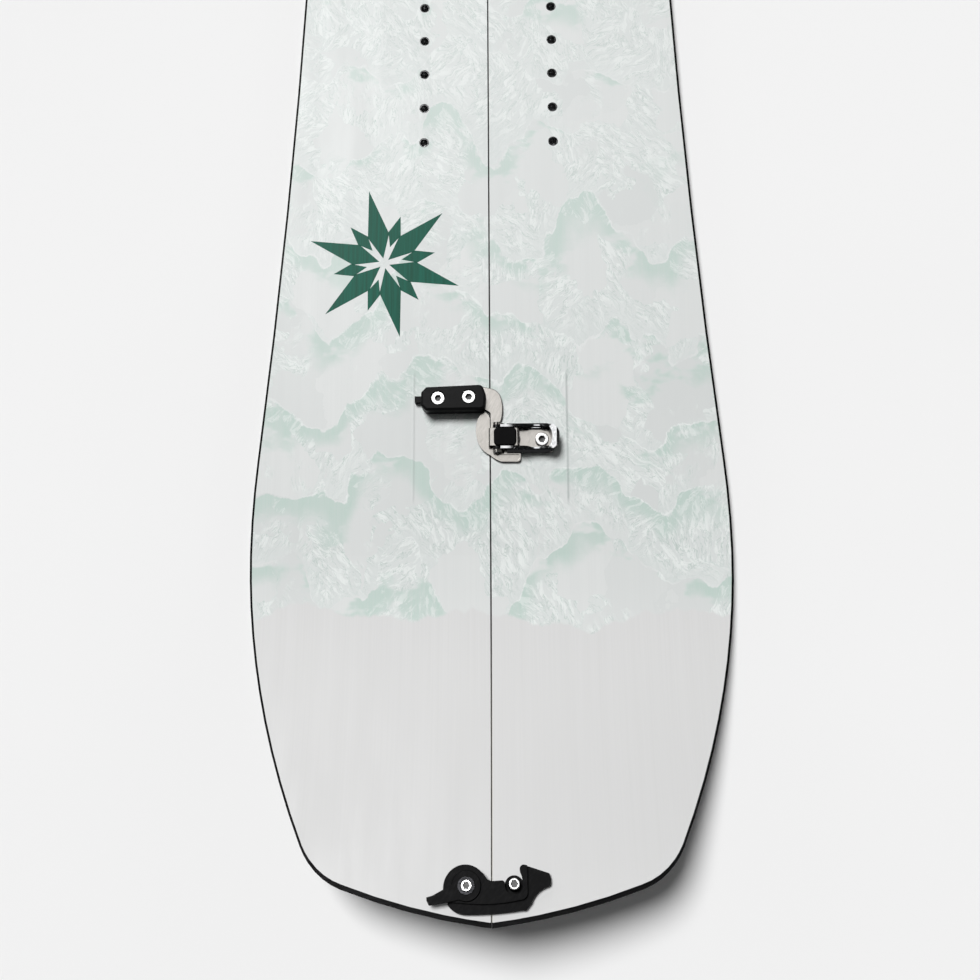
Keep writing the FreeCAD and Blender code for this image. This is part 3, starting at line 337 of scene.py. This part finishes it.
def wood_material():
    """Vertical strips of poplar and paulownia, glued side by side along the board."""
    g = Graph("core_wood")
    x, y, _ = g.split(g.place)
    strips_per_metre = 90
    strip = g.math("FLOOR", g.math("MULTIPLY", x, strips_per_metre))
    tone = g.random(strip)
    rings = g.noise(g.join(g.math("MULTIPLY", x, 420), g.math("MULTIPLY", y, 6), tone), 1.0, 4, 0.6, 0.5)
    pores = g.streaks((2600, 90, 900), 2)
    colour = g.mix(tone, srgb(204, 170, 122), srgb(226, 200, 156))
    colour = g.mix(g.spread(rings, 0.4, 0.7, 0.0, 0.6), colour, srgb(172, 134, 88))
    colour = g.mix(g.spread(pores, 0.6, 0.8, 0.0, 0.5), colour, srgb(120, 88, 56))
    return g.finish(Base_Color=colour, Roughness=g.vary(rings, 0.5, 0.68),
                    Normal=g.bump(pores, 0.00006, 0.4))


def sidewall_material():
    """Black plastic sidewall, milled lengthwise."""
    g = Graph("sidewall")
    mill = g.streaks((60, 60, 2600), 3, 0.6)
    scuff = g.streaks((240, 90, 900), 4, 0.65)
    colour = g.mix(g.spread(scuff, 0.55, 0.8), srgb(4, 4, 5), srgb(16, 16, 17))
    return g.finish(Base_Color=colour, Roughness=g.vary(mill, 0.42, 0.6),
                    Normal=g.bump(mill, 0.00003, 0.5), Specular_IOR_Level=0.05)


def edge_material():
    """Ground steel edge: grinding marks along it, a few dull spots, and painted shade near the seam
    between the halves.
    """
    g = Graph("edge_steel")
    marks = g.streaks((1800, 60, 4200), 4, 0.65)
    spots = g.noise(g.place, 160, 4, 0.6)
    colour = g.mix(g.vary(marks), srgb(150, 152, 155), srgb(196, 198, 201))
    colour = g.mix(g.spread(spots, 0.60, 0.74, 0.0, 0.5), colour, srgb(112, 104, 98))
    # painted shade: the edge darkened near the seam between the halves
    seam_inner, seam_outer = 0.0015, 0.004
    from_seam = g.math("ABSOLUTE", g.split(g.place)["X"])
    in_seam = g.spread(from_seam, seam_inner, seam_outer, 1.0, 0.0)
    colour = g.mix(in_seam, colour, srgb(40, 40, 41))
    rough = g.spread(marks, 0.25, 0.75, 0.24, 0.42)
    return g.finish(Base_Color=colour, Metallic=1.0, Roughness=rough, Normal=g.bump(marks, 0.00003, 0.5))


def base_material():
    """Black sintered running base with a stone-ground structure along it."""
    g = Graph("base")
    grind = g.streaks((2600, 26, 0), 3, 0.6)
    cross = g.noise(g.turn(g.scaled(g.place, (1, 1, 0)), 0.35), 1400, 1)
    flecks = g.cells(g.place, 900)
    colour = g.mix(g.vary(grind), srgb(19, 20, 22), srgb(38, 39, 42))
    colour = g.mix(g.spread(flecks, 0.0, 0.16, 0.3, 0.0), colour, srgb(78, 80, 84))
    height = g.math("ADD", grind, g.math("MULTIPLY", cross, 0.3))
    return g.finish(Base_Color=colour, Roughness=g.vary(grind, 0.36, 0.52),
                    Normal=g.bump(height, 0.00005, 0.6))


def insert_material():
    """Blackened threaded inserts: dull rims, and a painted highlight making the bore lighter further
    down.
    """
    g = Graph("insert_steel")
    z = g.split(g.place)["Z"]
    rim_start, rim_full = 0.0055, 0.0071
    thread_phase = 6283  # radians per metre: a pitch of 1 mm
    thread = g.math("SINE", g.math("MULTIPLY", z, thread_phase))
    mottle = g.noise(g.place, 700, 3)
    colour = g.mix(g.spread(mottle, 0.35, 0.65), srgb(28, 28, 29), srgb(70, 70, 71))
    # painted highlight: light grey below the rim, down the bore
    colour = g.mix(g.spread(z, rim_start, rim_full), srgb(146, 147, 148), colour)
    return g.finish(Base_Color=colour, Metallic=0.5, Roughness=g.vary(mottle, 0.12, 0.26),
                    Normal=g.bump(thread, 0.00012, 0.8))


def polished_material():
    """Polished stainless screw heads: bright, with faint polishing swirls."""
    g = Graph("screw_chrome")
    swirl = g.noise(g.place, 2400, 4, 0.6, 0.6)
    film_and_seam_shade = g.noise(g.place, 420, 2)
    colour = g.mix(g.vary(film_and_seam_shade), srgb(226, 226, 226), srgb(244, 244, 243))
    return g.finish(Base_Color=colour, Metallic=1.0, Roughness=g.vary(swirl, 0.22, 0.36),
                    Normal=g.bump(swirl, 0.00001, 0.5))


def socket_material():
    """The inside of a screw's socket: painted shade on its walls and a painted highlight on its floor."""
    g = Graph("socket")
    mottle = g.noise(g.place, 3000, 3)
    # painted shade: near-black walls; painted highlight: a grey floor
    wall = g.mix(g.spread(mottle, 0.4, 0.7), srgb(5, 5, 5), srgb(20, 20, 20))
    floor = g.mix(g.spread(mottle, 0.4, 0.7), srgb(70, 70, 70), srgb(130, 130, 130))
    colour = g.mix(g.level(0.80, 0.90), wall, floor)
    return g.finish(Base_Color=colour, Roughness=g.vary(mottle, 0.4, 0.6),
                    Normal=g.bump(mottle, 0.00002, 0.5), Specular_IOR_Level=0.2)


def plate_material(name, low, high):
    """Stamped stainless plate, brushed one way, with small dings, and painted shade on its steep sides.
    """
    g = Graph(name)
    brush = g.streaks((3600, 160, 900), 3, 0.6, place=g.turn(g.place, 0.5))
    dings = g.cells(g.vector("ADD", g.place, g.noise(g.place, 300, 2, out="Color")), 260)
    colour = g.mix(g.vary(brush), low, high)
    # painted shade: steep sides dark, level faces in the brushed steel's own colour
    colour = g.mix(g.level(0.60, 0.95), srgb(58, 57, 56), colour)
    height = g.math("ADD", brush, g.spread(dings, 0.0, 0.12, -0.8, 0.0))
    return g.finish(Base_Color=colour, Metallic=1.0, Roughness=g.vary(brush, 0.14, 0.22),
                    Normal=g.bump(height, 0.000004, 0.5))


def chrome_material():
    """Chromed casting, bright on top with a painted dark reflection down its sides, with orange peel and
    fine scratches.
    """
    g = Graph("lever_chrome")
    peel = g.noise(g.place, 520, 3, 0.5)
    scratch = g.streaks((5200, 110, 300), 2, place=g.turn(g.place, 0.9))
    colour = g.mix(g.vary(peel), srgb(214, 215, 217), srgb(238, 239, 240))
    # painted reflection: steep sides dark, level faces bright chrome
    colour = g.mix(g.level(0.80, 0.99), srgb(44, 44, 46), colour)
    rough = g.math("ADD", g.vary(peel, 0.06, 0.12), g.spread(scratch, 0.66, 0.74, 0.0, 0.16))
    height = g.math("SUBTRACT", peel, g.spread(scratch, 0.68, 0.76, 0.0, 0.5))
    return g.finish(Base_Color=colour, Metallic=1.0, Roughness=rough, Normal=g.bump(height, 0.00006, 0.5))


def anodised_material():
    """Satin black anodised aluminium, rubbed a little brighter in places."""
    g = Graph("black_metal")
    blast = g.noise(g.place, 5200, 2)
    rub = g.noise(g.place, 190, 4, 0.65)
    colour = g.mix(g.spread(rub, 0.52, 0.78), srgb(4, 4, 5), srgb(14, 14, 15))
    return g.finish(Base_Color=colour, Roughness=g.vary(rub, 0.34, 0.5),
                    Normal=g.bump(blast, 0.00003, 0.5), Specular_IOR_Level=0.10)


def moulded_material(name, low, high, rough_low, rough_high, grain_size):
    """Moulded black plastic or rubber with a fine spark-eroded grain and scuffs."""
    g = Graph(name)
    grain = g.cells(g.place, grain_size)
    scuff = g.streaks((900, 160, 500), 4, 0.65, place=g.turn(g.place, 0.7))
    colour = g.mix(g.spread(scuff, 0.5, 0.8), low, high)
    return g.finish(Base_Color=colour, Roughness=g.vary(scuff, rough_low, rough_high),
                    Normal=g.bump(grain, 0.00004, 0.5), Specular_IOR_Level=0.06)


def turned_material(name, low, high):
    """Turned or ground steel: fine rings round the part."""
    g = Graph(name)
    marks = g.streaks((300, 300, 4600), 3, 0.6)
    colour = g.mix(g.vary(marks), low, high)
    return g.finish(Base_Color=colour, Metallic=1.0, Roughness=g.vary(marks, 0.2, 0.36),
                    Normal=g.bump(marks, 0.00003, 0.5))


MATERIALS = {
    "topsheet": topsheet_material(),
    "laminate": laminate_material(),
    "core_wood": wood_material(),
    "sidewall": sidewall_material(),
    "edge_steel": edge_material(),
    "base": base_material(),
    "insert_steel": insert_material(),
    "screw_chrome": polished_material(),
    "plate_steel": plate_material("plate_steel", srgb(178, 175, 170), srgb(200, 196, 191)),
    "lever_chrome": chrome_material(),
    "black_metal": anodised_material(),
    "pad_black": moulded_material("pad_black", srgb(7, 7, 8), srgb(17, 17, 18), 0.55, 0.7, 1500),
    "hook_black": moulded_material("hook_black", srgb(7, 7, 8), srgb(18, 18, 19), 0.46, 0.62, 2200),
    "washer_black": moulded_material("washer_black", srgb(26, 26, 27), srgb(48, 48, 50), 0.5, 0.66, 1800),
    "pin_steel": turned_material("pin_steel", srgb(150, 151, 153), srgb(196, 197, 199)),
    "bushing_steel": turned_material("bushing_steel", srgb(20, 20, 21), srgb(42, 42, 44)),
}


# ---------------------------------------------------------------- pieces
SLOT_OF = {part["node"]: part["material_slot"] for part in frame["record"]["subparts"]}
BODY_OF = {node: body for body, nodes in frame["record"]["behaviour"]["bodies"].items() for node in nodes}


def dress(piece, slot):
    """Gives a piece its one material, through its material slots."""
    for place in piece.material_slots:
        place.material = MATERIALS[slot]


MERGE_DISTANCE = 1e-6
FLAT_ANGLE = math.radians(0.5)
SHARP_ANGLE = math.radians(32)
ROUNDING_STEPS = 3


def soften(node, width, sockets=None):
    """Stands in for a CAD node with the same shape, its sharp edges rounded.

    With sockets, the direction that screws point in, the insides of their sockets get the socket
    material's painted shade and highlight.
    """
    mesh = NODES[node].data.copy()
    piece = bpy.data.objects.new(node + "_soft", mesh)
    bpy.context.scene.collection.objects.link(piece)
    shape = bmesh.new()
    shape.from_mesh(mesh)
    bmesh.ops.remove_doubles(shape, verts=shape.verts, dist=MERGE_DISTANCE)
    bmesh.ops.dissolve_limit(shape, angle_limit=FLAT_ANGLE, verts=shape.verts, edges=shape.edges)
    dress(piece, SLOT_OF[node])
    if sockets is not None:
        piece.data.materials.append(SOCKET)
        darken_sockets(shape, Vector(sockets).normalized())
    shape.to_mesh(mesh)
    shape.free()
    if mesh.has_custom_normals:
        mesh.attributes.remove(mesh.attributes["custom_normal"])
    mesh.shade_smooth()
    bevel = piece.modifiers.new("bevel", "BEVEL")
    bevel.width = width
    bevel.segments = ROUNDING_STEPS
    bevel.limit_method = "ANGLE"
    bevel.angle_limit = SHARP_ANGLE
    bevel.harden_normals = True
    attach(piece, BODY_OF[node])
    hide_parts(node)


def islands(shape):
    """The separate solids of a mesh, each as a list of its faces."""
    waiting = set(shape.faces)
    while waiting:
        group, reached = [], [waiting.pop()]
        while reached:
            here = reached.pop()
            group.append(here)
            for side in here.edges:
                for neighbour in side.link_faces:
                    if neighbour in waiting:
                        waiting.remove(neighbour)
                        reached.append(neighbour)
        yield group


def darken_sockets(shape, axis):
    """Gives the second material, with its painted shade and highlight, to the faces inside each screw's
    socket.
    """
    head_depth, socket_depth, top_skin = 0.9 * MM, 2.6 * MM, 0.05 * MM
    socket_share = 0.62
    for group in islands(shape):
        points = {vertex for here in group for vertex in here.verts}
        top = max(vertex.co.dot(axis) for vertex in points)
        rim = [vertex.co for vertex in points if vertex.co.dot(axis) > top - head_depth]
        middle = sum(rim, Vector()) / len(rim)
        reach = max((point - middle - axis * (point - middle).dot(axis)).length for point in rim)
        for here in group:
            centre = here.calc_center_median()
            across = centre - middle - axis * (centre - middle).dot(axis)
            inside = top - socket_depth < centre.dot(axis) < top - top_skin
            if inside and across.length < socket_share * reach:
                here.material_index = 1


def build_emblem():
    """A plain six-armed ice crystal in green ink, lying on the left half's topsheet."""
    centre = Vector((-0.0710, -0.3770, 0.00803))
    arms, lean = 6, 12
    long_kite = {"start": 0.0035, "widest": 0.020, "far": 0.053, "half": 0.0074}
    short_kite = {"start": 0.012, "widest": 0.022, "far": 0.035, "half": 0.0044}
    shape = bmesh.new()

    def kite(angle, start, widest, far, half):
        """A kite pointing away from the middle."""
        turn = Matrix.Rotation(angle, 3, "Z")
        corners = [(0, start), (half, widest), (0, far), (-half, widest)]
        ring = [shape.verts.new(centre + turn @ Vector((u, v, 0))) for u, v in corners]
        shape.faces.new(ring)

    for arm in range(arms):
        angle = math.radians(360 / arms * arm + lean)
        kite(angle, **long_kite)
        kite(angle + math.radians(180 / arms), **short_kite)
    mesh = bpy.data.meshes.new("left_emblem")
    shape.to_mesh(mesh)
    shape.free()
    piece = bpy.data.objects.new("left_emblem", mesh)
    bpy.context.scene.collection.objects.link(piece)
    piece.data.materials.append(emblem_material())
    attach(piece, "left_half")


for name, node in NODES.items():
    dress(node, SLOT_OF[name])
# the painted shade and highlight for the insides of screw sockets
SOCKET = socket_material()
UP = (0, 0, 1)
AXES = {joint["name"]: joint["axis"] for joint in frame["record"]["behaviour"]["joints"]}

# how wide each kind of piece is rounded along its edges, in millimetres
CLIP_ROUNDING = {"anvil_block": 0.6, "hook_plate": 0.25, "base_plate": 0.25,
                 "lever": 0.45, "link_cap": 0.3, "draw_link": 0.25}
CLIP_SCREW_ROUNDING = {"anvil_screws": 0.2, "base_screws": 0.2}
END_ROUNDING = {"swing_hook": 0.35, "release_lever": 0.35, "pivot_bushing": 0.25, "receiver_post": 0.25}
END_SCREW_ROUNDING = {"pivot_screw": 0.15, "receiver_screw": 0.15}
INSERT_ROUNDING = {"binding_inserts": 0.3, "touring_inserts": 0.3}


def soften_kinds(owner, rounding, sockets=None):
    """Softens each kind of piece that one clip, end or half has."""
    for kind, width in rounding.items():
        soften(owner + "_" + kind, width * MM, sockets)


for clip in ("front_clip", "rear_clip"):
    soften_kinds(clip, CLIP_ROUNDING)
    soften_kinds(clip, CLIP_SCREW_ROUNDING, UP)
for end in ("nose", "tail"):
    soften_kinds(end, END_ROUNDING)
    soften_kinds(end, END_SCREW_ROUNDING, AXES[end + "_hook_swing"])
for half in ("left", "right"):
    soften_kinds(half, INSERT_ROUNDING)
build_emblem()


# ---------------------------------------------------------------- floor, light and camera
def build_floor():
    """A plain pale floor under the board."""
    mesh = bpy.data.meshes.new("floor")
    reach, gap = 30.0, 0.0002
    corners = [(-reach, -reach, 0), (reach, -reach, 0), (reach, reach, 0), (-reach, reach, 0)]
    mesh.from_pydata(corners, [], [(0, 1, 2, 3)])
    floor = bpy.data.objects.new("floor", mesh)
    floor.location.z = cad_box[0].z - gap
    bpy.context.scene.collection.objects.link(floor)
    g = Graph("floor")
    cloud = g.noise(g.place, 2.0, 3)
    colour = g.mix(g.vary(cloud), srgb(240, 240, 240), srgb(242, 242, 242))
    floor.data.materials.append(g.finish(Base_Color=colour, Roughness=0.9))


def add_sun(name, towards, spread_angle, strength):
    """A broad, distant soft light."""
    lamp = bpy.data.lights.new(name, "SUN")
    lamp.angle = math.radians(spread_angle)
    lamp.energy = strength
    holder = bpy.data.objects.new(name, lamp)
    holder.rotation_euler = Vector(towards).to_track_quat("Z", "Y").to_euler()
    bpy.context.scene.collection.objects.link(holder)


def build_world(panel, towards, walls, backdrop):
    """A dim studio with a soft-edged panel almost straight overhead and a pale backdrop round the foot.

    The panel's edge is given by the cosine of the angle to its middle, and the backdrop's by height.
    """
    panel_outer, panel_inner = 0.972, 0.990
    backdrop_full, backdrop_end = 0.20, 0.34
    world = bpy.data.worlds.new("studio")
    bpy.context.scene.world = world
    world.use_nodes = True
    nodes, links = world.node_tree.nodes, world.node_tree.links
    place = nodes.new("ShaderNodeTexCoord").outputs["Generated"]

    def ramp(value, low, high, to_low, to_high):
        made = nodes.new("ShaderNodeMapRange")
        for socket, number in zip(list(made.inputs)[1:5], (low, high, to_low, to_high)):
            socket.default_value = number
        links.new(value, made.inputs[0])
        return made.outputs[0]

    aligned = nodes.new("ShaderNodeVectorMath")
    aligned.operation = "DOT_PRODUCT"
    aligned.inputs[1].default_value = Vector(towards).normalized()
    links.new(place, aligned.inputs[0])
    split = nodes.new("ShaderNodeSeparateXYZ")
    links.new(place, split.inputs[0])
    total = nodes.new("ShaderNodeMath")
    overhead = ramp(aligned.outputs["Value"], panel_outer, panel_inner, walls, panel)
    links.new(overhead, total.inputs[0])
    links.new(ramp(split.outputs["Z"], backdrop_full, backdrop_end, backdrop, 0.0), total.inputs[1])
    links.new(total.outputs[0], nodes["Background"].inputs["Strength"])
    nodes["Background"].inputs["Color"].default_value = (1, 1, 1, 1)


def build_camera():
    """The photograph's view: from over the nose end, looking down and a little towards the tail."""
    camera = bpy.data.objects.new("camera", bpy.data.cameras.new("camera"))
    place = (0.0080, -0.6198, 0.6016)
    tilt, yaw, roll = math.radians(8.35), math.radians(0.79), math.radians(-0.43)
    turn = Matrix.Rotation(tilt, 4, "X") @ Matrix.Rotation(yaw, 4, "Y") @ Matrix.Rotation(roll, 4, "Z")
    camera.matrix_world = Matrix.Translation(place) @ turn
    camera.data.lens = 33.83
    camera.data.sensor_width = 36
    camera.data.clip_start = 0.01
    bpy.context.scene.collection.objects.link(camera)
    bpy.context.scene.camera = camera


build_floor()
build_world(panel=1.12, towards=(0.0, 0.2, 0.98), walls=0.010, backdrop=0.76)
add_sun("key", towards=(-0.36, 0.61, 1.0), spread_angle=24, strength=3.48)
build_camera()
bpy.context.scene.view_settings.view_transform = "Standard"
